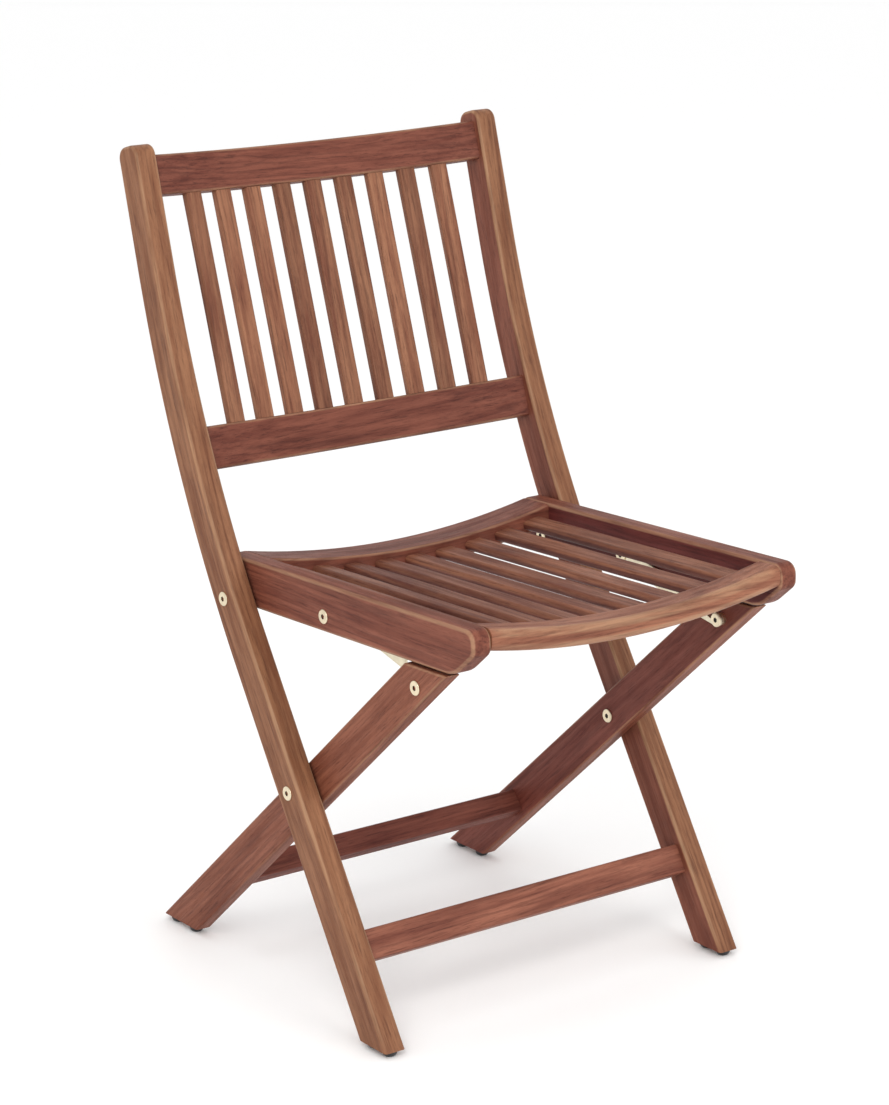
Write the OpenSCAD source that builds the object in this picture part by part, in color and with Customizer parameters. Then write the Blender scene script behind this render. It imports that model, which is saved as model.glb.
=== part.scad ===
// Folding slatted chair in hardwood with brass fittings.
// The chair faces -Y, +X is to its right hand side seen from the front, +Z is up.
// Origin: on the floor, under the middle of the whole chair.

/* [Overall] */
// Width over the two long posts
chair_w = 484; // [440:1:520]
// Height of the plastic glides under the feet
glide_h = 7; // [5:0.5:9]
// Distance between the middles of a front foot and a rear foot
foot_spread = 415.5; // [395:0.5:430]

/* [Long posts] */
// Thickness of a post across the chair
post_t = 26; // [22:0.5:32]
// Depth of a post in its straight lower part
post_d = 40.5; // [36:0.5:48]
// Depth of a post at its upper end
post_top_d = 36.5; // [30:0.5:40]
// Backward lean of the lower part, from upright
post_lean = 32.6; // [30:0.1:34]
// Length of the straight lower part
post_low_len = 438; // [420:1:460]
// Radius of the bend above the seat
post_bend_r = 1450; // [1300:10:1700]
// Length of the bend along the post
post_bend_len = 426; // [380:1:460]
// Length of the straight top
post_top_len = 133; // [110:1:160]
// Corner radius of the upper end
post_top_r = 13; // [6:0.5:16]

/* [Backrest] */
// Place of the lower back rail along the post
low_rail_at = 663.5; // [640:0.5:700]
// Distance from the upper end of a post down to the middle of the top back rail
top_rail_drop = 34.5; // [30:0.5:60]
// Height of the lower back rail
low_rail_h = 47; // [38:1:52]
// Height of the top back rail
top_rail_h = 44; // [38:1:52]
// Thickness of both back rails
back_rail_t = 20; // [18:0.5:24]
// Radius of the hollow curve of the back, seen from above
back_bow_r = 1070; // [800:10:2000]
// Gap between a post and the nearest back slat
back_edge_gap = 39.9; // [30:0.1:48]
// Width of a back slat
back_slat_w = 21; // [18:0.5:28]
// Thickness of a back slat
back_slat_t = 11; // [8:0.5:14]
// Step from the face of a rail down to the face of a slat
back_slat_step = 2; // [0.5:0.5:3]

/* [Rear legs] */
// Thickness of a leg across the chair
leg_t = 19.5; // [18:0.5:24]
// Depth of a leg
leg_d = 45.2; // [38:0.1:50]
// Gap between the top of a leg and the underside of the side rail
leg_gap = 3; // [2:0.5:5]
// Place of the crossing pivot along the post
cross_at = 280; // [270:1:290]
// Distance from the crossing pivot to the guide pin at the top of the leg
pin_reach = 247.4; // [240:0.2:250]
// Step of the guide pin off the middle of the leg, towards the front
pin_step = 6.7; // [0:0.1:8]

/* [Seat] */
// Place of the seat pivot along the post
seat_pivot_at = 500; // [490:1:510]
// Fall of the seat towards the back
seat_tilt = 2.15; // [0:0.05:4]
// Reach of the seat in front of its pivot
seat_front = 403; // [390:1:410]
// Length of a side rail behind the seat pivot
seat_tail = 34; // [32:1:44]
// Height of a side rail
side_rail_h = 52; // [49:0.5:58]
// Thickness of a side rail
side_rail_t = 24; // [22:0.5:28]
// Height of the seat pivot above the underside of the side rail
seat_pivot_up = 12.4; // [11:0.1:16]
// Length of the slanting cut under the front end of a side rail
side_cut_len = 34; // [24:1:50]
// Height of the slanting cut under the front end of a side rail
side_cut_h = 27; // [16:1:30]
// Radius where the slanting cut meets the front end
side_chin_r = 12; // [4:1:14]
// Radius where the slanting cut meets the underside
side_heel_r = 40; // [10:5:60]
// Radius of the upper front corner of a side rail
side_brow_r = 13; // [3:1:16]
// Radius of the rear corners of a side rail
side_tail_r = 6; // [3:1:10]
// Radius of the dish of the seat
dish_r = 970; // [900:10:2000]
// Drop from the top of a side rail to the dished rails, at their ends
dish_drop = 1; // [0.5:0.5:4]
// Depth of the front rail, front to back
front_rail_d = 35; // [28:1:42]
// Thickness of the front rail
front_rail_t = 23; // [19:0.5:26]
// Depth of the rear rail, front to back
rear_rail_d = 47; // [30:1:50]
// Gap between the rear rail and the heads of the seat pivot below it
rear_rail_gap = 6.85; // [2:0.05:10]
// Step from the tail of a side rail to the rear rail
rear_rail_in = 1; // [0:0.5:4]
// Gap between a side rail and the nearest seat slat
seat_edge_gap = 12.3; // [8:0.1:20]
// Width of a seat slat
seat_slat_w = 24; // [20:0.5:30]
// Thickness of a seat slat
seat_slat_t = 10; // [9:0.5:12]
// Step from the top of the dished rails down to the slats
seat_slat_step = 8; // [4:0.5:9]

/* [Stretchers] */
// Place of the front stretcher along the post
front_bar_at = 102.5; // [90:0.5:130]
// Height of the front stretcher
front_bar_h = 33; // [26:0.5:38]
// Thickness of the front stretcher
front_bar_t = 22; // [18:0.5:26]
// Place of the rear stretcher along the leg
rear_bar_at = 124; // [100:0.5:140]
// Height of the rear stretcher along the leg
rear_bar_h = 21; // [18:0.5:32]
// Thickness of the rear stretcher
rear_bar_t = 27; // [18:0.5:30]

/* [Brass fittings] */
// Diameter of the bolt and nut heads
head_d = 15.5; // [12:0.5:17]
// Height of the bolt and nut heads
head_h = 1.6; // [1.2:0.1:2.4]
// Width across the flats of the hexagon sockets
socket_af = 5; // [4:0.5:6]
// Depth of the sockets in the nuts
socket_depth = 3; // [2:0.5:4]
// Diameter of the nut sleeves, which are the pivots
sleeve_d = 8; // [7:0.5:10]
// Diameter of the bolt shanks
shank_d = 6; // [5:0.5:6.5]
// Thickness of the washers between post and leg
washer_t = 2.5; // [1.5:0.1:3.5]
// Diameter of the washers
washer_d = 20; // [16:0.5:24]
// Thickness of a stay
stay_t = 3; // [2:0.5:4]
// Diameter of the eye of a stay
stay_eye_d = 17; // [14:0.5:22]
// Wall round the slot of a stay
stay_wall = 3; // [3:0.5:6]
// Place of the stay pivot in front of the seat pivot
stay_back = 146.4; // [142:0.1:150]
// Height of the stay pivot above the seat pivot
stay_up = 4.6; // [2:0.1:8]

/* [Folding] */
// Angle that the legs fold through
fold_max = 62; // [30:1:62]
// Turn of the seat for each degree of the legs
seat_ratio = 1.5; // [1.45:0.01:1.5]
// Turn of a stay on the seat for each degree of the legs
stay_ratio = 2.09; // [2.05:0.01:2.15]

/* [Joinery and fits] */
// Radial play of a pivot in its bore
pivot_play = 0.05; // [0.02:0.01:0.1]
// Play between a tenon and its mortise
glue_play = 0.1; // [0.05:0.05:0.2]
// Depth left free beyond the end of a tenon
tenon_free = 1; // [0.5:0.5:2]
// Shoulder left round a rail tenon
rail_shoulder = 6; // [4:0.5:8]
// Shoulder left at the faces of a rail tenon
cheek_shoulder = 4; // [3:0.5:5]
// Length of the tenons in the posts
post_tenon = 15; // [10:0.5:18]
// Length of the tenons in the legs
leg_tenon = 12; // [8:0.5:14]
// Length of the tenons in the side rails
side_tenon = 14; // [10:0.5:18]
// Length of the slat tenons
slat_tenon = 10; // [6:0.5:12]
// Shoulder left round a slat tenon
slat_shoulder = 2.5; // [2:0.25:3]
// Clearance between pieces that slide past each other
slide_play = 0.3; // [0.2:0.05:0.5]
// Play round the guide pin in the slot of its stay
slot_play = 0.4; // [0.3:0.1:0.8]

/* [Glides] */
// Diameter of a glide
glide_d = 16; // [12:0.5:18]
// Diameter of the flat that a glide stands on
glide_flat = 8; // [6:0.5:10]
// Diameter of the glide pins
glide_pin_d = 4; // [3:0.5:5]
// Length of the glide pins
glide_pin_len = 8; // [6:0.5:9]
// Distance between the two glides under a post
post_glide_gap = 27; // [20:1:30]
// Distance between the two glides under a leg
leg_glide_gap = 38; // [30:1:44]

/* [Hidden] */

arc_fn = 96;
small_fn = 48;
back_slats = 9;
seat_slats = 9;
post_color = [0.62, 0.41, 0.28];
rail_color = [0.55, 0.33, 0.24];
slat_color = [0.60, 0.40, 0.29];
brass_color = [0.85, 0.74, 0.47];
plastic_color = [0.12, 0.12, 0.12];

// Side view helpers: a point is [y, z], with y = 0 at the middle of the front foot.
function turn(p, a) = [p.x * cos(a) - p.y * sin(a), p.x * sin(a) + p.y * cos(a)];
function aim(p) = atan2(p.y, p.x);
function arc_points(c, r, a0, a1, n) = [for (i = [0:n]) c + r * [cos(a0 + (a1 - a0) * i / n),
    sin(a0 + (a1 - a0) * i / n)]];

// Middle line of a post, by the distance s from the foot
function post_angle(s) =
    post_lean - max(0, min(s - post_low_len, post_bend_len)) / post_bend_r * 180 / PI;
foot = [0, glide_h];
bend_start = foot + post_low_len * [sin(post_lean), cos(post_lean)];
top_lean = post_lean - post_bend_len / post_bend_r * 180 / PI;
function bend_point(a) =
    bend_start + post_bend_r * [cos(a) - cos(post_lean), sin(post_lean) - sin(a)];
function post_point(s) =
    s <= post_low_len ? foot + s * [sin(post_lean), cos(post_lean)] :
    s <= post_low_len + post_bend_len ? bend_point(post_angle(s)) :
    bend_point(top_lean) + (s - post_low_len - post_bend_len) * [sin(top_lean), cos(top_lean)];
function post_side(s, off) = post_point(s) + off * [cos(post_angle(s)), -sin(post_angle(s))];
post_len = post_low_len + post_bend_len + post_top_len;
top_rail_at = post_len - top_rail_drop;
function post_half(s) =
    lookup(s, [[0, post_d / 2], [post_low_len, post_d / 2], [post_len, post_top_d / 2]]);

// Widths across the chair
post_out = chair_w / 2;
post_in = post_out - post_t;
leg_out = post_in - washer_t;
leg_in = leg_out - leg_t;
side_in = leg_out - side_rail_t;
back_slat_pitch = 2 * (post_in - back_edge_gap - back_slat_w / 2) / (back_slats - 1);
seat_slat_pitch = 2 * (side_in - seat_edge_gap - seat_slat_w / 2) / (seat_slats - 1);

// Pivots, seen from the side
cross_pivot = post_point(cross_at);
seat_pivot = post_point(seat_pivot_at);
rear_foot = [foot_spread, glide_h];
leg_lean = aim(cross_pivot - rear_foot) - 90;
leg_dir = [-sin(leg_lean), cos(leg_lean)];
leg_up = [cos(leg_lean), sin(leg_lean)];
guide_pin = cross_pivot + pin_reach * leg_dir - pin_step * leg_up;
seat_dir = [cos(seat_tilt), -sin(seat_tilt)];
seat_up = [sin(seat_tilt), cos(seat_tilt)];
function seat_point(y, z) = seat_pivot + y * seat_dir + z * seat_up;
stay_pivot = seat_point(-stay_back, stay_up);
leg_top_z = -seat_pivot_up - leg_gap;

// Slot in a stay: the way of the guide pin, seen in the stay
stay_aim = aim(guide_pin - stay_pivot);
function pin_at(f) = cross_pivot + turn(guide_pin - cross_pivot, -f);
function stay_pivot_at(f) = seat_pivot + turn(stay_pivot - seat_pivot, -seat_ratio * f);
function slot_point(f) =
    turn(pin_at(f) - stay_pivot_at(f), -stay_aim - (stay_ratio - seat_ratio) * f);
slot_steps = 36;
slot_way = [for (i = [0:slot_steps]) slot_point(fold_max * i / slot_steps)];
slot_near = min([for (p = slot_way) p.x]);
slot_turns = [for (p = slot_way) if (p.x < slot_near + 2.5) p];
turn_ys = [for (p = slot_turns) p.y];
slot_end = [slot_near + 1.2, (min(turn_ys) + max(turn_ys)) / 2];
slot_r = sleeve_d / 2 + slot_play;
slot_end_r = slot_r + max([for (p = slot_turns) norm(p - slot_end)]);
slot_run = [for (p = slot_way) if (p.x > slot_end.x + slot_end_r * 0.6) p];

// Back panel: rails and slats lie on the straight line between the two rail places
panel_low = post_point(low_rail_at);
panel_top = post_point(top_rail_at);
panel_lean = 90 - aim(panel_top - panel_low);
panel_len = norm(panel_top - panel_low);
function bow_at(x) = sqrt(pow(back_bow_r, 2) - x * x) - sqrt(pow(back_bow_r, 2) - post_in * post_in);

// Dish of the seat
rail_top_z = side_rail_h - seat_pivot_up;
rear_rail_t = rail_top_z - dish_drop - head_d / 2 - rear_rail_gap;
function dish_at(x) = rail_top_z - dish_drop
    - (sqrt(dish_r * dish_r - x * x) - sqrt(dish_r * dish_r - side_in * side_in));
// Middle of the chair, front to back: from the front rail's lower edge to the top rail's upper edge
front_edge = seat_point(-seat_front, dish_at(0) - front_rail_t).x;
rear_edge = panel_top.x + (bow_at(0) + back_rail_t / 2) * cos(panel_lean)
    + top_rail_h / 2 * sin(panel_lean);
mid_y = (front_edge + rear_edge) / 2;

slat_front_y = front_rail_d - seat_front;
rear_rail_y = seat_tail - rear_rail_in - rear_rail_d;
seat_slat_len = rear_rail_y - slat_front_y;

// Extrudes a side view outline from x0 to x1
module across(x0, x1) translate([x0, -mid_y, 0]) rotate([90, 0, 90]) linear_extrude(x1 - x0) children();
// Places things at a side view point, leaning by an angle
module at_side(p, lean) translate([0, p.x - mid_y, p.y]) rotate([-lean, 0, 0]) children();
module both() for (s = [0, 1]) mirror([s, 0, 0]) children();
module box(lo, hi) translate(lo) cube(hi - lo);
// Bore or pin along X, from x0 to x1
module rod(p, x0, x1, d) across(x0, x1) translate(p) circle(d = d, $fn = arc_fn);

// A tenon or, with its play, a mortise, reaching from the shoulder at x0
module side_tenon_block(x0, len, w, h, play) {
    box([x0 - play, -w / 2 - play, -h / 2 - play],
        [x0 + len + (play > 0 ? tenon_free : 0), w / 2 + play, h / 2 + play]);
}

// Tenons of the pieces that join the posts and legs
module back_rail_tenon(p, h, play) at_side(p, panel_lean)
    side_tenon_block(post_in, post_tenon, back_rail_t - 2 * cheek_shoulder,
        h - 2 * rail_shoulder, play);
module front_bar_tenon(play) at_side(post_point(front_bar_at), post_lean)
    side_tenon_block(post_in, post_tenon, front_bar_t - 2 * cheek_shoulder,
        front_bar_h - 2 * rail_shoulder, play);
module rear_bar_tenon(play) at_side(rear_foot + rear_bar_at * leg_dir, -leg_lean)
    side_tenon_block(leg_in, leg_tenon, rear_bar_t - 2 * cheek_shoulder,
        rear_bar_h - rail_shoulder, play);

// Places of the two glides under a foot
module under_foot(y, gap, x) for (k = [-1, 1])
    translate([x, y + k * gap / 2 - mid_y, 0]) children();
module glide() {
    dome = [(glide_d - glide_flat) / 2, glide_h - 2];
    rotate_extrude($fn = small_fn) polygon(concat([[0, 0]],
        [for (a = [-90:15:0]) [glide_flat / 2 + dome.x * cos(a), dome.y * (1 + sin(a))]],
        [[glide_d / 2, glide_h], [glide_pin_d / 2, glide_h],
         [glide_pin_d / 2, glide_h + glide_pin_len], [0, glide_h + glide_pin_len]]));
}
module glide_bore() translate([0, 0, glide_h - 1])
    cylinder(d = glide_pin_d, h = glide_pin_len + 1 + tenon_free, $fn = small_fn);

// Long post, right hand one
top_bend = post_len - post_top_r;
function top_corner(side) = let (p = post_side(top_bend, side * (post_half(top_bend) - post_top_r)))
    side < 0 ? arc_points(p, post_top_r, 180 - top_lean, 90 - top_lean, 8)
             : arc_points(p, post_top_r, 90 - top_lean, -top_lean, 8);
post_stations = [for (i = [0:24]) post_low_len + post_bend_len * i / 24];
foot_half = post_d / 2 / cos(post_lean);
module post_blank() across(post_in, post_out) polygon(concat(
    [foot - [foot_half, 0]],
    [for (s = post_stations) post_side(s, -post_half(s))],
    top_corner(-1), top_corner(1),
    [for (i = [24:-1:0]) post_side(post_stations[i], post_half(post_stations[i]))],
    [foot + [foot_half, 0]]));
module post() color(post_color) difference() {
    post_blank();
    rod(cross_pivot, post_in - 1, post_out + 1, sleeve_d + 2 * pivot_play);
    rod(seat_pivot, post_in - 1, post_out + 1, sleeve_d + 2 * pivot_play);
    back_rail_tenon(panel_low, low_rail_h, glue_play);
    back_rail_tenon(panel_top, top_rail_h, glue_play);
    front_bar_tenon(glue_play);
    under_foot(foot.x, post_glide_gap, (post_in + post_out) / 2) glide_bore();
}
module left_post() mirror([1, 0, 0]) post();
module right_post() post();

// Curved back rail: an arc seen from above, with tenons
module bowed_band(h, t) translate([0, 0, -h / 2]) linear_extrude(h) intersection() {
    translate([0, -sqrt(pow(back_bow_r, 2) - post_in * post_in)]) difference() {
        circle(r = back_bow_r + t / 2, $fn = 360);
        circle(r = back_bow_r - t / 2, $fn = 360);
    }
    translate([-post_in, -post_in]) square([2 * post_in, 2 * post_in]);
}
module back_rail(p, h) color(rail_color) difference() {
    union() {
        at_side(p, panel_lean) bowed_band(h, back_rail_t);
        both() back_rail_tenon(p, h, 0);
    }
    for (i = [1:back_slats]) back_slat_solid(i, glue_play);
}
module back_top_rail() back_rail(panel_top, top_rail_h);
module back_bottom_rail() back_rail(panel_low, low_rail_h);

// Back slat number i, counted from the left post
module back_slat_solid(i, play) {
    x = (i - (back_slats + 1) / 2) * back_slat_pitch;
    y = bow_at(x) - back_rail_t / 2 + back_slat_step + back_slat_t / 2;
    free_len = panel_len - (low_rail_h + top_rail_h) / 2;
    tenon_len = slat_tenon + (play > 0 ? tenon_free : 0);
    at_side(panel_low, panel_lean) translate([x, y, low_rail_h / 2])
        rotate([0, 0, -asin(x / back_bow_r)]) {
        if (play == 0) translate([-back_slat_w / 2, -back_slat_t / 2, 0])
            cube([back_slat_w, back_slat_t, free_len]);
        translate([-back_slat_w / 2 + slat_shoulder - play,
                   -back_slat_t / 2 + slat_shoulder - play, -tenon_len])
            cube([back_slat_w - 2 * slat_shoulder + 2 * play, back_slat_t - 2 * slat_shoulder + 2 * play,
                  free_len + 2 * tenon_len]);
    }
}
module back_slat(i) color(slat_color) back_slat_solid(i, 0);

module front_stretcher() color(rail_color) {
    at_side(post_point(front_bar_at), post_lean)
        box([-post_in, -front_bar_t / 2, -front_bar_h / 2], [post_in, front_bar_t / 2, front_bar_h / 2]);
    both() front_bar_tenon(0);
}

// Rear leg, right hand one: its top is cut parallel to the side rail
function leg_edge(off) = rear_foot + off * leg_up;
function leg_cut(off) = let (p = leg_edge(off), q = seat_point(0, leg_top_z))
    p + leg_dir * ((q - p) * seat_up) / (leg_dir * seat_up);
function leg_heel(off) = leg_edge(off) - leg_dir * (leg_edge(off).y - glide_h) / leg_dir.y;
module leg() color(post_color) difference() {
    across(leg_in, leg_out) polygon([leg_heel(-leg_d / 2), leg_cut(-leg_d / 2),
        leg_cut(leg_d / 2), leg_heel(leg_d / 2)]);
    rod(cross_pivot, leg_in - 1, leg_out + 1, sleeve_d + 2 * pivot_play);
    rod(guide_pin, leg_in - 1, leg_out + 1, sleeve_d + 2 * pivot_play);
    rear_bar_tenon(glue_play);
    under_foot(rear_foot.x, leg_glide_gap, (leg_in + leg_out) / 2) glide_bore();
}
module left_rear_leg() mirror([1, 0, 0]) leg();
module right_rear_leg() leg();
module rear_stretcher() color(rail_color) {
    at_side(rear_foot + rear_bar_at * leg_dir, -leg_lean)
        box([-leg_in, -rear_bar_t / 2, -rear_bar_h / 2], [leg_in, rear_bar_t / 2, rear_bar_h / 2]);
    both() rear_bar_tenon(0);
}

// Seat side rail, right hand one, drawn in the seat's own y and z
module in_seat() at_side(seat_pivot, seat_tilt) children();
cut_slope = atan2(side_cut_h, side_cut_len);
chin = [side_chin_r - seat_front, side_cut_h - seat_pivot_up + side_chin_r * tan(45 - cut_slope / 2)];
heel = [side_cut_len - seat_front + side_heel_r * tan(cut_slope / 2), side_heel_r - seat_pivot_up];
module side_outline() polygon(concat(
    arc_points(heel, side_heel_r, 270, 270 - cut_slope, 6),
    arc_points(chin, side_chin_r, 270 - cut_slope, 180, 6),
    arc_points([side_brow_r - seat_front, rail_top_z - side_brow_r], side_brow_r, 180, 90, 6),
    arc_points([seat_tail - side_tail_r, rail_top_z - side_tail_r], side_tail_r, 90, 0, 5),
    arc_points([seat_tail - side_tail_r, side_tail_r - seat_pivot_up], side_tail_r, 0, -90, 5)));
module seat_rod(y, z, x0, x1, d) in_seat() translate([x0, y, z]) rotate([0, 90, 0])
    cylinder(d = d, h = x1 - x0, $fn = arc_fn);
module cross_rail_tenon(y0, d, t, play) in_seat()
    translate([0, y0 + d / 2, dish_at(side_in) - t / 2])
        side_tenon_block(side_in, side_tenon, d - 2 * cheek_shoulder, t - 2 * cheek_shoulder, play);
module side_rail() color(rail_color) difference() {
    in_seat() translate([side_in, 0, 0]) rotate([90, 0, 90]) linear_extrude(side_rail_t) side_outline();
    seat_rod(0, 0, side_in - 1, leg_out + 1, sleeve_d + 2 * pivot_play);
    seat_rod(-stay_back, stay_up, side_in - 1, leg_out + 1, sleeve_d + 2 * pivot_play);
    cross_rail_tenon(-seat_front, front_rail_d, front_rail_t, glue_play);
    cross_rail_tenon(rear_rail_y, rear_rail_d, rear_rail_t, glue_play);
}
module left_side_rail() mirror([1, 0, 0]) side_rail();
module right_side_rail() side_rail();

// Dished rail between the side rails, from y0 and d deep
module dished_rail(y0, d, t) color(rail_color) difference() {
    union() {
        in_seat() translate([0, y0 + d, 0]) rotate([90, 0, 0]) linear_extrude(d) intersection() {
            translate([0, dish_at(0) + dish_r]) difference() {
                circle(r = dish_r + t, $fn = 360);
                circle(r = dish_r, $fn = 360);
            }
            translate([-side_in, -side_in]) square([2 * side_in, 2 * side_in]);
        }
        both() cross_rail_tenon(y0, d, t, 0);
    }
    for (i = [1:seat_slats]) seat_slat_solid(i, glue_play);
}
module seat_front_rail() dished_rail(-seat_front, front_rail_d, front_rail_t);
module seat_rear_rail() dished_rail(rear_rail_y, rear_rail_d, rear_rail_t);

// Seat slat number i, counted from the left side rail
module seat_slat_solid(i, play) {
    x = (i - (seat_slats + 1) / 2) * seat_slat_pitch;
    tenon_len = slat_tenon + (play > 0 ? tenon_free : 0);
    in_seat() translate([x, slat_front_y, dish_at(x) - seat_slat_step - seat_slat_t / 2])
        rotate([0, -asin(x / dish_r), 0]) {
            if (play == 0) translate([-seat_slat_w / 2, 0, -seat_slat_t / 2])
                cube([seat_slat_w, seat_slat_len, seat_slat_t]);
            translate([-seat_slat_w / 2 + slat_shoulder - play, -tenon_len,
                       -seat_slat_t / 2 + slat_shoulder - play])
                cube([seat_slat_w - 2 * slat_shoulder + 2 * play, seat_slat_len + 2 * tenon_len,
                      seat_slat_t - 2 * slat_shoulder + 2 * play]);
        }
}
module seat_slat(i) color(slat_color) seat_slat_solid(i, 0);

// Round head on a shank: its flat underside is at z = 0, and a hexagon socket is in its top
module headed(d, len, depth) difference() {
    union() {
        rotate_extrude($fn = small_fn) polygon([[0, 0], [head_d / 2, 0], [head_d / 2, head_h * 0.55],
            [head_d / 2 - head_h * 0.6, head_h], [0, head_h]]);
        translate([0, 0, -len]) cylinder(d = d, h = len + head_h * 0.2, $fn = arc_fn);
    }
    translate([0, 0, head_h - depth]) cylinder(d = socket_af / cos(30), h = depth + 1, $fn = 6);
}
// Sleeve nut, its head outside at x0; the sleeve reaches inwards
module sleeve_nut(p, x0, len) color(brass_color) translate([x0, p.x - mid_y, p.y]) rotate([0, 90, 0])
    difference() {
        headed(sleeve_d, len, socket_depth);
        translate([0, 0, -len - 1])
            cylinder(d = shank_d + 2 * pivot_play, h = len + 1 - socket_floor, $fn = small_fn);
    }
// Bolt, its head inside at x0; the shank screws into the sleeve
module bolt(p, x0, len) color(brass_color) translate([x0, p.x - mid_y, p.y]) rotate([0, -90, 0])
    headed(shank_d, len, head_h * 0.7);
module ring(p, x0, x1, d) color(brass_color) difference() {
    rod(p, x0, x1, d);
    rod(p, x0 - 1, x1 + 1, sleeve_d + 2 * pivot_play);
}
socket_floor = max(socket_depth - head_h, 0) + 1.5;
nut_wall = socket_floor + 0.5;
cross_grip = post_out - leg_in + slide_play;
seat_grip = post_out - side_in + slide_play;
stay_grip = leg_out - side_in + stay_t + 2 * slide_play;
guide_grip = leg_out - side_in + stay_t + 2 * slide_play;
module cross_nuts() both() sleeve_nut(cross_pivot, post_out, cross_grip);
module cross_bolts() both() bolt(cross_pivot, post_out - cross_grip, cross_grip - nut_wall);
module cross_washers() both() ring(cross_pivot, leg_out + pivot_play, post_in, washer_d);
module seat_pivot_nuts() both() sleeve_nut(seat_pivot, post_out, seat_grip);
module seat_pivot_bolts() both() bolt(seat_pivot, post_out - seat_grip, seat_grip - nut_wall);
module seat_washers() both() ring(seat_pivot, leg_out + pivot_play, post_in, washer_d);
module stay_nuts() both() sleeve_nut(stay_pivot, leg_out, stay_grip);
module stay_bolts() both() bolt(stay_pivot, leg_out - stay_grip, stay_grip - nut_wall);
module guide_nuts() both() sleeve_nut(guide_pin, leg_out, guide_grip);
module guide_bolts() both() bolt(guide_pin, leg_out - guide_grip, guide_grip - nut_wall);
module guide_spacers() both() ring(guide_pin, side_in + slide_play, leg_in, washer_d * 0.7);
module post_glides() color(plastic_color) both()
    under_foot(foot.x, post_glide_gap, (post_in + post_out) / 2) glide();
module leg_glides() color(plastic_color) both()
    under_foot(rear_foot.x, leg_glide_gap, (leg_in + leg_out) / 2) glide();

// Stay: a brass bar with a slot that follows the way of the guide pin
function way_normal(w, i) = let (a = w[max(i - 1, 0)], b = w[min(i + 1, len(w) - 1)],
    d = (b - a) / norm(b - a)) [d.y, -d.x];
module slot_outline() let (w = slot_run, n = len(w) - 1) polygon(concat(
    arc_points(w[0], slot_r, -75, 75, 10),
    [for (i = [0:n]) w[i] + slot_r * way_normal(w, i)],
    arc_points(slot_end, slot_end_r, 60, 300, 16),
    [for (i = [n:-1:0]) w[i] - slot_r * way_normal(w, i)]));
stay_ends = [[0, 0], slot_end, slot_way[0]];
stay_radii = [stay_eye_d / 2, slot_end_r + stay_wall, slot_r + stay_wall];
function stay_line(i) = aim(stay_ends[i + 1] - stay_ends[i]);
function stay_lean(i) =
    acos((stay_radii[i] - stay_radii[i + 1]) / norm(stay_ends[i + 1] - stay_ends[i]));
function stay_arc(i, a0, a1) = arc_points(stay_ends[i], stay_radii[i], a0, a1, 12);
module stay_blank() polygon(concat(
    stay_arc(2, stay_line(1) - stay_lean(1), stay_line(1) + stay_lean(1)),
    stay_arc(1, stay_line(1) + stay_lean(1), stay_line(0) + stay_lean(0)),
    stay_arc(0, stay_line(0) + stay_lean(0), 360 + stay_line(0) - stay_lean(0)),
    stay_arc(1, 360 + stay_line(0) - stay_lean(0), 360 + stay_line(1) - stay_lean(1))));
module stay() color(brass_color) translate([0, stay_pivot.x - mid_y, stay_pivot.y])
    rotate([stay_aim, 0, 0]) translate([side_in - stay_t - slide_play, 0, 0])
        rotate([90, 0, 90]) linear_extrude(stay_t) difference() {
            stay_blank();
            slot_outline();
            circle(d = sleeve_d + 2 * pivot_play, $fn = arc_fn);
        }
module left_stay() mirror([1, 0, 0]) stay();
module right_stay() stay();

left_post();
right_post();
back_top_rail();
back_bottom_rail();
back_slat(1);  // back_slat_1
back_slat(2);  // back_slat_2
back_slat(3);  // back_slat_3
back_slat(4);  // back_slat_4
back_slat(5);  // back_slat_5
back_slat(6);  // back_slat_6
back_slat(7);  // back_slat_7
back_slat(8);  // back_slat_8
back_slat(9);  // back_slat_9
front_stretcher();
cross_nuts();
cross_bolts();
cross_washers();
seat_pivot_nuts();
seat_pivot_bolts();
seat_washers();
post_glides();
left_rear_leg();
right_rear_leg();
rear_stretcher();
leg_glides();
guide_nuts();
guide_bolts();
guide_spacers();
left_side_rail();
right_side_rail();
seat_front_rail();
seat_rear_rail();
seat_slat(1);  // seat_slat_1
seat_slat(2);  // seat_slat_2
seat_slat(3);  // seat_slat_3
seat_slat(4);  // seat_slat_4
seat_slat(5);  // seat_slat_5
seat_slat(6);  // seat_slat_6
seat_slat(7);  // seat_slat_7
seat_slat(8);  // seat_slat_8
seat_slat(9);  // seat_slat_9
stay_nuts();
stay_bolts();
left_stay();
right_stay();
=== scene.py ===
import math
import random

import bmesh
import bpy
from mathutils import Matrix, Vector


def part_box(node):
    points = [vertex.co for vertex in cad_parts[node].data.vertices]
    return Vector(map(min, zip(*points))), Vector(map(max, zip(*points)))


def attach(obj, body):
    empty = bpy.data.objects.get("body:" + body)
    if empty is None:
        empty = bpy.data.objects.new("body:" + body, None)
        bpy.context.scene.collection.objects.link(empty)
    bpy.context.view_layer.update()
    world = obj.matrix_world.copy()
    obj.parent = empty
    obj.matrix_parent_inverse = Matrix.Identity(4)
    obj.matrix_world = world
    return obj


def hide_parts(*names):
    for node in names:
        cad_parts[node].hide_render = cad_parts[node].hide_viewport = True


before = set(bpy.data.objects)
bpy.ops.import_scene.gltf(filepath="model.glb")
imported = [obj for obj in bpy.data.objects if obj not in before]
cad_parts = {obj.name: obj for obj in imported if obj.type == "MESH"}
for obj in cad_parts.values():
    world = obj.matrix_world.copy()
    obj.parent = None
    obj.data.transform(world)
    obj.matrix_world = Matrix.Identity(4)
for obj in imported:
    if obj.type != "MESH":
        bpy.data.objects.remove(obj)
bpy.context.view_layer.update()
mm = 0.001
xAxis = Vector((1, 0, 0))
print("frame loaded:", len(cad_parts), "nodes")


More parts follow.
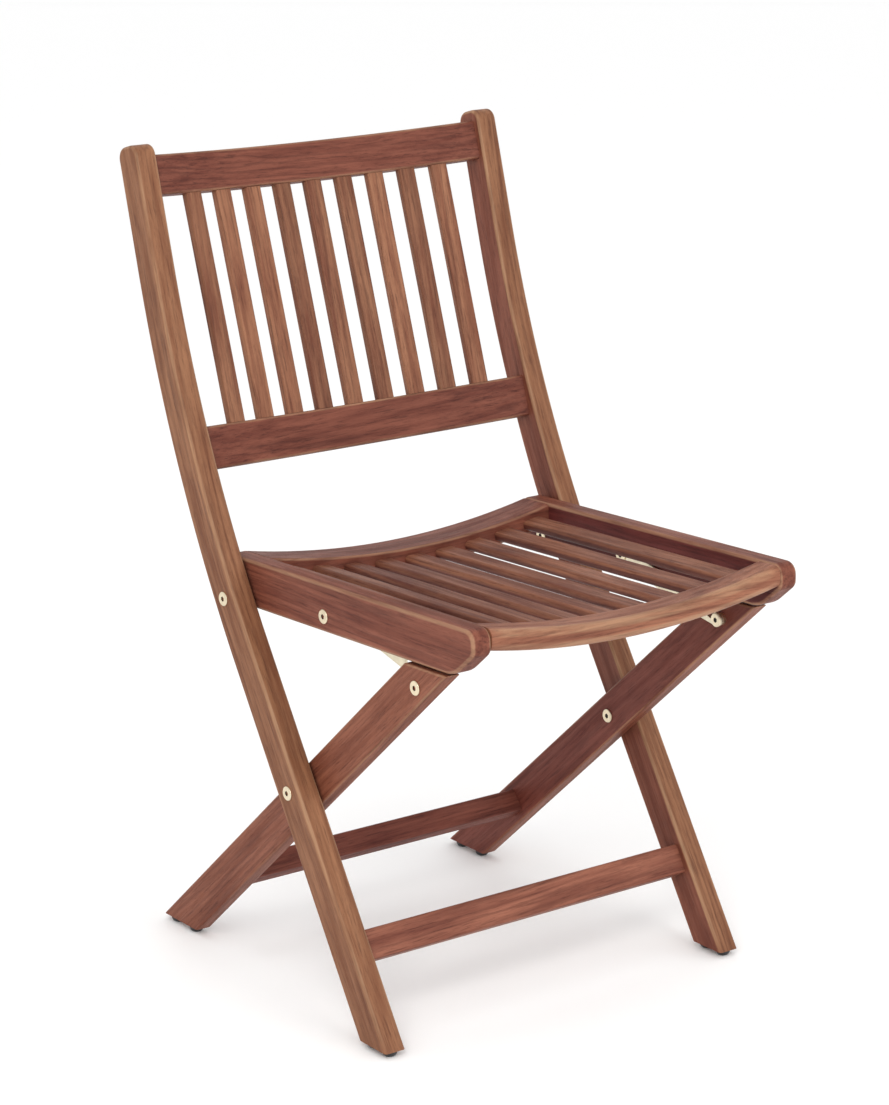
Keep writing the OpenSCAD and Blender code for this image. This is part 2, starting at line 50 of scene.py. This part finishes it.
camera = {"left": 2.0860, "ahead": 2.5756, "height": 1.4218, "tilt": 74.526, "turn": -36.70,
          "lens": 108.32, "sensor": 36.0}  # metres, degrees and millimetres; ahead is from the posts' front
floor = {"halfWidth": 30.0, "color": (0.97, 0.97, 0.97, 1), "roughness": 0.8}
studio = {
    "aim": Vector((0, 0.05, 0.45)),
    "world": 1.02,
    "lamps": [  # place, size, power, colour
        (Vector((-2.4, -2.0, 2.6)), 1.6, 46.0, (1.0, 0.98, 0.95)),
        (Vector((0.4, -3.0, 1.6)), 1.6, 22.0, (1.0, 0.98, 0.96)),
    ],
}


def addCamera():
    lens = bpy.data.cameras.new("camera")
    lens.sensor_fit = "VERTICAL"
    lens.sensor_height = camera["sensor"]
    lens.lens = camera["lens"]
    obj = bpy.data.objects.new("camera", lens)
    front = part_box("left_post")[0][1]
    obj.location = (-camera["left"], front - camera["ahead"], camera["height"])
    obj.rotation_euler = (math.radians(camera["tilt"]), 0, math.radians(camera["turn"]))
    bpy.context.scene.collection.objects.link(obj)
    bpy.context.scene.camera = obj


def addFloor():
    bm = bmesh.new()
    bmesh.ops.create_grid(bm, x_segments=1, y_segments=1, size=floor["halfWidth"])
    mesh = bpy.data.meshes.new("floor")
    bm.to_mesh(mesh)
    bm.free()
    obj = bpy.data.objects.new("floor", mesh)
    bpy.context.scene.collection.objects.link(obj)
    paint = bpy.data.materials.new("floorPaint")
    paint.use_nodes = True
    shader = paint.node_tree.nodes["Principled BSDF"]
    shader.inputs["Base Color"].default_value = floor["color"]
    shader.inputs["Roughness"].default_value = floor["roughness"]
    mesh.materials.append(paint)


def addLights():
    world = bpy.data.worlds.new("studio")
    bpy.context.scene.world = world
    world.use_nodes = True
    world.node_tree.nodes["Background"].inputs["Color"].default_value = (1, 1, 1, 1)
    world.node_tree.nodes["Background"].inputs["Strength"].default_value = studio["world"]
    for number, (place, size, power, color) in enumerate(studio["lamps"]):
        lamp = bpy.data.lights.new("lamp%d" % number, "AREA")
        lamp.size = size
        lamp.energy = power
        lamp.color = color
        obj = bpy.data.objects.new("lamp%d" % number, lamp)
        obj.location = place
        obj.rotation_euler = (studio["aim"] - place).to_track_quat("-Z", "Y").to_euler()
        bpy.context.scene.collection.objects.link(obj)


bpy.context.scene.view_settings.view_transform = "Standard"
addCamera()
addFloor()
addLights()
print("camera, floor and lights placed")


class Tree:  # short calls for building a node tree
    def __init__(self, tree):
        self.tree = tree
        self.nodes = tree.nodes

    def add(self, kind, inputs=(), **settings):
        node = self.nodes.new(kind)
        for name, value in settings.items():
            setattr(node, name, value)
        for name, value in dict(inputs).items():
            if isinstance(value, bpy.types.NodeSocket):
                self.tree.links.new(value, node.inputs[name])
            else:
                node.inputs[name].default_value = value
        return node

    def math(self, operation, a, b=0.0, c=0.0):
        return self.add("ShaderNodeMath", {0: a, 1: b, 2: c}, operation=operation).outputs[0]

    def mix(self, factor, a, b, blend="MIX"):
        node = self.add("ShaderNodeMix", data_type="RGBA", blend_type=blend)
        for index, value in ((0, factor), (6, a), (7, b)):
            if isinstance(value, bpy.types.NodeSocket):
                self.tree.links.new(value, node.inputs[index])
            else:
                node.inputs[index].default_value = value
        return node.outputs[2]

    def ramp(self, value, low, high):
        node = self.add("ShaderNodeMapRange", {"Value": value, "From Min": low, "From Max": high})
        return node.outputs["Result"]

    def stretched(self, coordinates, scale):
        return self.add("ShaderNodeMapping", {"Vector": coordinates, "Scale": scale}).outputs["Vector"]

    def noise(self, coordinates, scale, detail=2.0, roughness=0.5):
        stretched = self.stretched(coordinates, scale)
        node = self.add("ShaderNodeTexNoise",
                        {"Vector": stretched, "Scale": 1.0, "Detail": detail, "Roughness": roughness})
        return node.outputs["Fac"]


def newGroup(name, inputs, outputs):
    tree = bpy.data.node_groups.new(name, "ShaderNodeTree")
    for label, kind in inputs:
        tree.interface.new_socket(label, in_out="INPUT", socket_type=kind)
    for label, kind in outputs:
        tree.interface.new_socket(label, in_out="OUTPUT", socket_type=kind)
    shorthand = Tree(tree)
    start = shorthand.add("NodeGroupInput").outputs
    end = shorthand.add("NodeGroupOutput").inputs
    return shorthand, start, end


boards = {  # what every board shares; scales are per metre, X along the grain
    "drift": (3.0, 9.0, 9.0), "sway": (0.0, 0.012, 0.012),
    "waver": (1.5, 60.0, 60.0), "waverRings": 3.2, "ringSharpness": 2.5, "ringFade": (5.0, 40.0, 40.0),
    "patch": (6.0, 30.0, 30.0), "patchShare": 0.38, "streak": (7.0, 120.0, 120.0), "streakShare": 0.62,
    "fleck": (24.0, 430.0, 430.0), "pore": (70.0, 1500.0, 1500.0), "poreShare": 0.38,
    "poreColor": (0.030, 0.010, 0.007, 1), "wearAndHighlightShare": 0.42, "wearAndHighlightLoss": 0.30,
    "wearAndHighlightColor": (0.46, 0.29, 0.17, 1), "roughness": 0.46, "streakRoughness": 0.12, "poreRoughness": 0.15,
    "bump": 0.30, "bumpDepth": 0.4 * mm, "specular": 0.2,
}


def makeBoardFigure():  # streaks, flecks, pores and lighter arrises (wear and painted highlight) of a sawn and oiled board
    color, number, vector = "NodeSocketColor", "NodeSocketFloat", "NodeSocketVector"
    t, start, end = newGroup(
        "boardFigure",
        [("Grain", vector), ("Stain", vector), ("Arris", number), ("Light", color), ("Middle", color),
         ("Dark", color), ("Ring Gap", number), ("Ring Strength", number), ("Flecks", number)],
        [("Color", color), ("Roughness", number), ("Height", number)])
    # the fibres wander a little along the board
    drift = t.add("ShaderNodeTexNoise", {"Vector": t.stretched(start["Grain"], boards["drift"]),
                                         "Scale": 1.0, "Detail": 1.0}).outputs["Color"]
    shift = t.add("ShaderNodeVectorMath", {0: drift, 1: boards["sway"]}, operation="MULTIPLY").outputs[0]
    grain = t.add("ShaderNodeVectorMath", {0: start["Grain"], 1: shift}, operation="ADD").outputs[0]
    # rings round a far pith
    parts = t.add("ShaderNodeSeparateXYZ", {"Vector": grain}).outputs
    radius = t.math("SQRT", t.math("ADD", t.math("MULTIPLY", parts["Y"], parts["Y"]),
                                   t.math("MULTIPLY", parts["Z"], parts["Z"])))
    waver = t.noise(grain, boards["waver"], 3.0, 0.6)
    phase = t.math("ADD", t.math("DIVIDE", radius, start["Ring Gap"]),
                   t.math("MULTIPLY", waver, boards["waverRings"]))
    wave = t.math("MULTIPLY_ADD", t.math("SINE", t.math("MULTIPLY", phase, 2 * math.pi)), 0.5, 0.5)
    fade = t.ramp(t.noise(grain, boards["ringFade"]), 0.35, 0.65)
    rings = t.math("MULTIPLY", t.math("POWER", wave, boards["ringSharpness"]),
                   t.math("MULTIPLY", fade, start["Ring Strength"]))
    # colour: wide patches, streaks, dark flecks and open pores
    patch = t.ramp(t.noise(grain, boards["patch"], 3.0, 0.6), 0.36, 0.64)
    streak = t.ramp(t.noise(grain, boards["streak"], 5.0, 0.66), 0.38, 0.62)
    fleck = t.ramp(t.noise(grain, boards["fleck"], 3.0, 0.7), 0.53, 0.68)
    pore = t.ramp(t.noise(grain, boards["pore"], 2.0, 0.7), 0.58, 0.70)
    patches = t.math("MULTIPLY", patch, boards["patchShare"])
    blend = t.math("MULTIPLY_ADD", streak, boards["streakShare"], patches)
    body = t.mix(blend, start["Light"], start["Middle"])
    body = t.mix(rings, body, start["Dark"])
    body = t.mix(t.math("MULTIPLY", fleck, start["Flecks"]), body, start["Dark"])
    body = t.mix(t.math("MULTIPLY", pore, boards["poreShare"]), body, boards["poreColor"])
    body = t.mix(1.0, body, start["Stain"], "MULTIPLY")
    # lighter rounded arrises: wear and painted highlight
    wearAndHighlight = t.math("MULTIPLY", start["Arris"],
                  t.math("MULTIPLY_ADD", streak, -boards["wearAndHighlightLoss"], boards["wearAndHighlightShare"]))
    body = t.mix(wearAndHighlight, body, boards["wearAndHighlightColor"])
    t.tree.links.new(body, end["Color"])
    rough = t.math("ADD", t.math("MULTIPLY_ADD", streak, boards["streakRoughness"], boards["roughness"]),
                   t.math("MULTIPLY", pore, boards["poreRoughness"]))
    t.tree.links.new(rough, end["Roughness"])
    height = t.math("SUBTRACT", t.math("MULTIPLY", fleck, -0.5), pore)
    t.tree.links.new(height, end["Height"])
    return t.tree


boardFigure = makeBoardFigure()
woods = {  # linear colours, ring spacing in metres
    "post": {"light": (0.305, 0.138, 0.070), "middle": (0.170, 0.061, 0.029),
             "dark": (0.055, 0.013, 0.007), "gap": 0.0075, "rings": 0.36, "flecks": 0.50},
    "rail": {"light": (0.228, 0.073, 0.043), "middle": (0.112, 0.028, 0.017),
             "dark": (0.034, 0.006, 0.004), "gap": 0.0070, "rings": 0.38, "flecks": 0.50},
    "back_slat": {"light": (0.300, 0.135, 0.072), "middle": (0.150, 0.048, 0.026),
                  "dark": (0.048, 0.012, 0.007), "gap": 0.0065, "rings": 0.36, "flecks": 0.50},
    "seat_slat": {"light": (0.250, 0.100, 0.058), "middle": (0.104, 0.029, 0.019),
                  "dark": (0.030, 0.005, 0.004), "gap": 0.0065, "rings": 0.36, "flecks": 0.52},
}


def makeWood(name, look):
    material = bpy.data.materials.new(name + "Wood")
    material.use_nodes = True
    t = Tree(material.node_tree)
    shader = t.nodes["Principled BSDF"]
    grain = t.add("ShaderNodeAttribute", attribute_name="grain").outputs["Vector"]
    stain = t.add("ShaderNodeAttribute", attribute_name="stain").outputs["Vector"]
    arris = t.add("ShaderNodeAttribute", attribute_name="arris").outputs["Fac"]
    figure = t.add("ShaderNodeGroup", node_tree=boardFigure)
    for label, value in (("Grain", grain), ("Stain", stain), ("Arris", arris)):
        t.tree.links.new(value, figure.inputs[label])
    for label, key in (("Light", "light"), ("Middle", "middle"), ("Dark", "dark")):
        figure.inputs[label].default_value = (*look[key], 1)
    figure.inputs["Ring Gap"].default_value = look["gap"]
    figure.inputs["Ring Strength"].default_value = look["rings"]
    figure.inputs["Flecks"].default_value = look["flecks"]
    bump = t.add("ShaderNodeBump", {"Height": figure.outputs["Height"], "Strength": boards["bump"],
                                    "Distance": boards["bumpDepth"]})
    t.tree.links.new(figure.outputs["Color"], shader.inputs["Base Color"])
    t.tree.links.new(figure.outputs["Roughness"], shader.inputs["Roughness"])
    t.tree.links.new(bump.outputs["Normal"], shader.inputs["Normal"])
    shader.inputs["Specular IOR Level"].default_value = boards["specular"]
    return material


brass = {"bolt": (0.80, 0.69, 0.50), "boltRoughness": 0.26, "stay": (0.78, 0.70, 0.53),
         "stayRoughness": 0.32, "dull": 0.72, "socketDirtAndShade": (0.020, 0.014, 0.010, 1), "socketDirtAndShadeRoughness": 0.4}
plastic = {"color": (0.012, 0.012, 0.013, 1), "scuffed": (0.035, 0.034, 0.033, 1), "roughness": 0.34,
           "scuffRoughness": 0.25}


def makeBrass(name, color, roughness):
    material = bpy.data.materials.new(name)
    material.use_nodes = True
    t = Tree(material.node_tree)
    shader = t.nodes["Principled BSDF"]
    place = t.add("ShaderNodeTexCoord").outputs["Object"]
    cloud = t.ramp(t.noise(place, (90.0, 90.0, 90.0), 3.0), 0.35, 0.7)
    speck = t.noise(place, (900.0, 900.0, 900.0), 2.0)
    socketDirtAndShade = t.add("ShaderNodeAttribute", attribute_name="socketDirtAndShade").outputs["Fac"]
    dull = tuple(brass["dull"] * channel for channel in color)
    metal = t.mix(t.math("MULTIPLY", cloud, 0.5), (*color, 1), (*dull, 1))
    # the bolt sockets are darkened: dirt and painted shade
    t.tree.links.new(t.mix(socketDirtAndShade, metal, brass["socketDirtAndShade"]), shader.inputs["Base Color"])
    rough = t.math("ADD", t.math("MULTIPLY_ADD", cloud, 0.14, roughness),
                   t.math("MULTIPLY", socketDirtAndShade, brass["socketDirtAndShadeRoughness"]))
    t.tree.links.new(rough, shader.inputs["Roughness"])
    t.tree.links.new(t.math("SUBTRACT", 1.0, socketDirtAndShade), shader.inputs["Metallic"])
    bump = t.add("ShaderNodeBump", {"Height": speck, "Strength": 0.15, "Distance": 0.0001})
    t.tree.links.new(bump.outputs["Normal"], shader.inputs["Normal"])
    return material


def makePlastic():
    material = bpy.data.materials.new("glidePlastic")
    material.use_nodes = True
    t = Tree(material.node_tree)
    shader = t.nodes["Principled BSDF"]
    place = t.add("ShaderNodeTexCoord").outputs["Object"]
    scuff = t.ramp(t.noise(place, (420.0, 420.0, 160.0), 3.0), 0.45, 0.75)
    t.tree.links.new(t.mix(scuff, plastic["color"], plastic["scuffed"]), shader.inputs["Base Color"])
    rough = t.math("MULTIPLY_ADD", scuff, plastic["scuffRoughness"], plastic["roughness"])
    t.tree.links.new(rough, shader.inputs["Roughness"])
    return material


materials = {name: makeWood(name, look) for name, look in woods.items()}
for slot in ("bolt", "stay"):
    materials[slot] = makeBrass(slot + "Brass", brass[slot], brass[slot + "Roughness"])
materials["glide"] = makePlastic()
print("materials made:", len(materials))


weld = 0.002 * mm
near = 0.1 * mm  # how far off a plane still counts as in it


def cadMesh(node):  # a welded copy of a CAD node, flats joined
    bm = bmesh.new()
    bm.from_mesh(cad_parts[node].data)
    bmesh.ops.remove_doubles(bm, verts=bm.verts, dist=weld)
    bmesh.ops.dissolve_limit(bm, angle_limit=math.radians(0.2), verts=bm.verts, edges=bm.edges)
    bm.normal_update()
    return bm


def longestEdge(node):
    bm = cadMesh(node)
    edge = max(bm.edges, key=lambda item: item.calc_length())
    line = (edge.verts[1].co - edge.verts[0].co).normalized()
    bm.free()
    return line if line.y + line.z > 0 else -line


def flatFaces(bm, direction):  # the longest-edged flat that looks along a direction, and how far out it is
    found = sorted(((face.calc_center_median().dot(direction), face) for face in bm.faces
                    if face.normal.dot(direction) > 0.9999), key=lambda item: item[0])
    flats = []
    for offset, face in found:
        if flats and offset - flats[-1][0] < near / 2:
            flats[-1][1].append(face)
        else:
            flats.append((offset, [face]))
    return max(flats, key=lambda item: length(outline(item[1])))


def length(loop):
    return sum((a - b).length for a, b in zip(loop, loop[1:]))


def outline(faces):  # the outer edge of a flat, in order, without bores and mortises
    inside = set(faces)
    rim = [edge for face in faces for edge in face.edges
           if sum(linked in inside for linked in edge.link_faces) == 1]  # a list, so each run starts alike
    loops = []
    while rim:
        edge = rim.pop()
        first, last = edge.verts
        loop = [first.co.copy()]
        while last is not first:
            loop.append(last.co.copy())
            edge = next((item for item in last.link_edges if item in rim), None)
            if edge is None:
                break
            rim.remove(edge)
            last = edge.other_vert(last)
        loops.append(loop)
    return max(loops, key=length)


def joined(edge, axis, low, high):  # True where an edge lies in the plane of a joint
    a, b = (vert.co.dot(axis) for vert in edge.verts)
    return abs(a - b) < near and (a < low + near or a > high - near)


def sharpEdges(bm, degrees):
    limit = math.radians(degrees)
    return [edge for edge in bm.edges if edge.is_manifold and edge.calc_face_angle(0) > limit]


def roundOff(bm, edges, width, segments, mark=None):
    made = bmesh.ops.bevel(bm, geom=edges, offset=width, offset_type="OFFSET", segments=segments,
                           profile=0.5, affect="EDGES", clamp_overlap=True, material=-1)
    if mark:
        for face in made["faces"]:
            face[mark] = 1


def shadeAndLink(name, bm, smoothAngle):
    mesh = bpy.data.meshes.new(name)
    for face in bm.faces:
        face.smooth = True
    bm.to_mesh(mesh)
    bm.free()
    mesh.set_sharp_from_angle(angle=math.radians(smoothAngle))
    obj = bpy.data.objects.new(name, mesh)
    bpy.context.scene.collection.objects.link(obj)
    weights = obj.modifiers.new("flatFaces", "WEIGHTED_NORMAL")
    weights.keep_sharp = True
    return obj


def settle(obj, body, node, slot):
    obj.data.materials.append(materials[slot])
    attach(obj, body)
    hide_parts(node)


saw = random.Random(11)  # how each board was cut from its log


def grainFrame(along):  # turns a place on the piece into a place in the log, X along the grain
    side = along.cross(Vector((0.31, 0.87, 0.39))).normalized()
    turned = Matrix((along, side, along.cross(side)))
    tilt = Matrix.Rotation(math.radians(saw.uniform(-1.6, 1.6)), 3, "Y")
    swing = Matrix.Rotation(math.radians(saw.uniform(-1.2, 1.2)), 3, "Z")
    angle = saw.uniform(0, 2 * math.pi)
    distance = saw.uniform(0.035, 0.11)
    pith = Vector((saw.uniform(-40, 40), distance * math.cos(angle), distance * math.sin(angle)))
    return lambda place: tilt @ swing @ (turned @ place) + pith


def makeBoard(node, body, slot, direction, along, look, joints=None, feet=False, straighten=None):
    bm = cadMesh(node)
    offset, faces = flatFaces(bm, direction)
    backOffset, _ = flatFaces(bm, -direction)
    loop = outline(faces)
    bm.free()
    bm = bmesh.new()
    onArris = bm.faces.layers.int.new("onArris")
    cap = bm.faces.new([bm.verts.new(place) for place in loop])
    depth = offset + backOffset
    grown = bmesh.ops.extrude_face_region(bm, geom=[cap], use_keep_orig=True)
    moved = [item for item in grown["geom"] if isinstance(item, bmesh.types.BMVert)]
    bmesh.ops.translate(bm, verts=moved, vec=-depth * direction)
    bmesh.ops.recalc_face_normals(bm, faces=bm.faces)
    middle = sum((vert.co for vert in bm.verts), Vector()) / len(bm.verts)
    edges = sharpEdges(bm, 25)
    if joints:
        values = [vert.co.dot(joints) for vert in bm.verts]
        edges = [edge for edge in edges if not joined(edge, joints, min(values), max(values))]
    if feet:
        low = min(vert.co.z for vert in bm.verts)
        edges = [edge for edge in edges if not joined(edge, Vector((0, 0, 1)), low, 10)]
    if "nose" in look:  # a softer round on the arrises of the front face
        out = max(vert.co.dot(direction) for vert in bm.verts) - near
        front = [edge for edge in edges if all(vert.co.dot(direction) > out for vert in edge.verts)]
        edges = [edge for edge in edges if edge not in front]
        roundOff(bm, front, look["nose"], 6, onArris)
        edges = [edge for edge in edges if edge.is_valid]
    roundOff(bm, edges, look["arris"], look["segments"], onArris)
    low, high = (pick(vert.co.z for vert in bm.verts) for pick in (min, max))
    for cut in range(1, look.get("cuts", 0)):  # short faces, so that the grain can bend
        level = low + (high - low) * cut / look["cuts"]
        bmesh.ops.bisect_plane(bm, geom=bm.verts[:] + bm.edges[:] + bm.faces[:], dist=weld / 2,
                               plane_co=(0, 0, level), plane_no=(0, 0, 1))
    toLog = grainFrame(along)
    shade = saw.uniform(1 - look["spread"], 1 + look["spread"])
    inside = min(abs(vert.co.x) for vert in bm.verts) + near
    arris, grain, stain = [], [], []
    for vert in bm.verts:
        # painted shade: vertices on the inner face take a darker factor
        paintedShade = look["paintedInnerShade"] if "paintedInnerShade" in look and abs(vert.co.x) < inside else (1, 1, 1)
        if "under" in look and (vert.co - middle).dot(seatUp) < 0:  # painted shade: the lower half is darkened
            paintedShade = look["under"]
        stain.extend(channel * shade * more for channel, more in zip(look["stain"], paintedShade))
        arris.append(1.0 if all(face[onArris] for face in vert.link_faces) else 0.0)
        place = straighten(vert.co) if straighten else vert.co
        grain.extend(toLog(place - middle))
    obj = shadeAndLink(node + "_board", bm, 40)
    mesh = obj.data
    mesh.attributes.new("grain", "FLOAT_VECTOR", "POINT").data.foreach_set("vector", grain)
    mesh.attributes.new("arris", "FLOAT", "POINT").data.foreach_set("value", arris)
    mesh.attributes.new("stain", "FLOAT_VECTOR", "POINT").data.foreach_set("vector", stain)
    settle(obj, body, node, slot)


# arris and nose are rounds, stain multiplies the wood's colour, the inner-face and lower-half factors darken
# it as painted shade, and spread is how much boards differ
posts = {"arris": 3.5 * mm, "segments": 4, "stain": (0.96, 0.97, 0.95), "paintedInnerShade": (0.84, 0.62, 0.74),
         "spread": 0.03, "straightTo": 0.376, "bendRise": 0.387, "bendRadius": 1.45, "lean": 32.6, "cuts": 40}
legs = {"arris": 2.5 * mm, "segments": 3, "stain": (0.84, 0.64, 0.70), "paintedInnerShade": (0.80, 0.64, 0.78),
        "spread": 0.03}
sideRails = {"arris": 4.0 * mm, "segments": 4, "stain": (1.0, 1.0, 1.0), "paintedInnerShade": (0.62, 0.42, 0.60),
             "spread": 0.03}
frontRail = {"arris": 3.0 * mm, "segments": 3, "nose": 9.0 * mm, "stain": (1.42, 1.80, 1.70), "spread": 0.0}
rearRail = {"arris": 3.0 * mm, "segments": 3, "stain": (1.0, 1.0, 1.0), "spread": 0.03}
backRails = {"arris": 3.0 * mm, "segments": 3, "stain": (0.97, 0.95, 0.98), "spread": 0.04}
frontStretcher = {"arris": 2.5 * mm, "segments": 3, "stain": (1.34, 1.55, 1.60), "spread": 0.0}
rearStretcher = {"arris": 2.5 * mm, "segments": 3, "stain": (0.90, 0.85, 0.95), "spread": 0.0}
backSlats = {"arris": 3.0 * mm, "segments": 3, "stain": (1.0, 1.0, 1.0), "spread": 0.10}
seatSlats = {"arris": 3.5 * mm, "segments": 3, "stain": (1.02, 1.03, 0.98), "under": (0.50, 0.38, 0.45),
             "spread": 0.12}
slatCount = 9


def straightenPost(place):  # undoes the bend, so that the grain follows the post
    lean = math.radians(posts["lean"])
    rise = max(0.0, place.z - posts["straightTo"])
    bent = min(rise, posts["bendRise"])
    angle = math.asin(math.sin(lean) - bent / posts["bendRadius"])
    back = posts["bendRadius"] * (math.cos(angle) - math.cos(lean)) + (rise - bent) * math.tan(angle)
    return Vector((place.x, place.y + rise * math.tan(lean) - back, place.z))


postLine = Vector((0, math.sin(math.radians(posts["lean"])), math.cos(math.radians(posts["lean"]))))
panelLine = longestEdge("back_slat_5")
seatLine = longestEdge("seat_slat_5")
legLine = longestEdge("left_rear_leg")
seatUp = Vector((0, -seatLine.z, seatLine.y)) * (1 if seatLine.y > 0 else -1)
for side, outwards in (("left", -xAxis), ("right", xAxis)):
    makeBoard(side + "_post", "back_frame", "post", outwards, postLine, posts, None, True, straightenPost)
    makeBoard(side + "_rear_leg", "leg_frame", "post", outwards, legLine, legs, None, True)
    makeBoard(side + "_side_rail", "seat_frame", "rail", outwards, seatLine, sideRails)
makeBoard("back_top_rail", "back_frame", "rail", panelLine, xAxis, backRails, xAxis)
makeBoard("back_bottom_rail", "back_frame", "rail", -panelLine, xAxis, backRails, xAxis)
makeBoard("seat_front_rail", "seat_frame", "rail", -seatLine, xAxis, frontRail, xAxis)
makeBoard("seat_rear_rail", "seat_frame", "rail", seatLine, xAxis, rearRail, xAxis)
makeBoard("front_stretcher", "back_frame", "rail", xAxis, xAxis, frontStretcher, xAxis)
makeBoard("rear_stretcher", "leg_frame", "rail", xAxis, xAxis, rearStretcher, xAxis)
for kind, body, look in (("back_slat", "back_frame", backSlats), ("seat_slat", "seat_frame", seatSlats)):
    for number in range(1, slatCount + 1):
        slat = "%s_%d" % (kind, number)
        along = longestEdge(slat)
        makeBoard(slat, body, kind, along, along, look, along)
print("boards made")


fittings = {"edge": 0.25 * mm, "stayEdge": 0.5 * mm, "segments": 2, "socketRadius": 2.95 * mm}


def finishCopy(node, body, slot, width):
    bm = cadMesh(node)
    edges = [edge for edge in sharpEdges(bm, 40) if edge.is_convex]
    roundOff(bm, edges, width, fittings["segments"])
    low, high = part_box(node)
    middle = (low + high) / 2
    socketDirtAndShade = []  # the sockets of the bolt heads, darkened with dirt and painted shade
    for face in bm.faces:
        reach = max(math.hypot(vert.co.y - middle.y, vert.co.z - middle.z) for vert in face.verts)
        socketDirtAndShade.append(float(slot == "bolt" and reach < fittings["socketRadius"]))
    obj = shadeAndLink(node + "_finished", bm, 32)
    obj.data.attributes.new("socketDirtAndShade", "FLOAT", "FACE").data.foreach_set("value", socketDirtAndShade)
    settle(obj, body, node, slot)


bolts = {  # the brass turns with these bodies
    "back_frame": ("cross_nuts", "cross_bolts", "cross_washers", "seat_pivot_nuts", "seat_pivot_bolts",
                   "seat_washers"),
    "leg_frame": ("guide_nuts", "guide_bolts", "guide_spacers"),
    "seat_frame": ("stay_nuts", "stay_bolts"),
}
for body, nodes in bolts.items():
    for node in nodes:
        finishCopy(node, body, "bolt", fittings["edge"])
for side in ("left", "right"):
    finishCopy(side + "_stay", side + "_stay", "stay", fittings["stayEdge"])
finishCopy("post_glides", "back_frame", "glide", fittings["edge"])
finishCopy("leg_glides", "leg_frame", "glide", fittings["edge"])
print("fittings made")
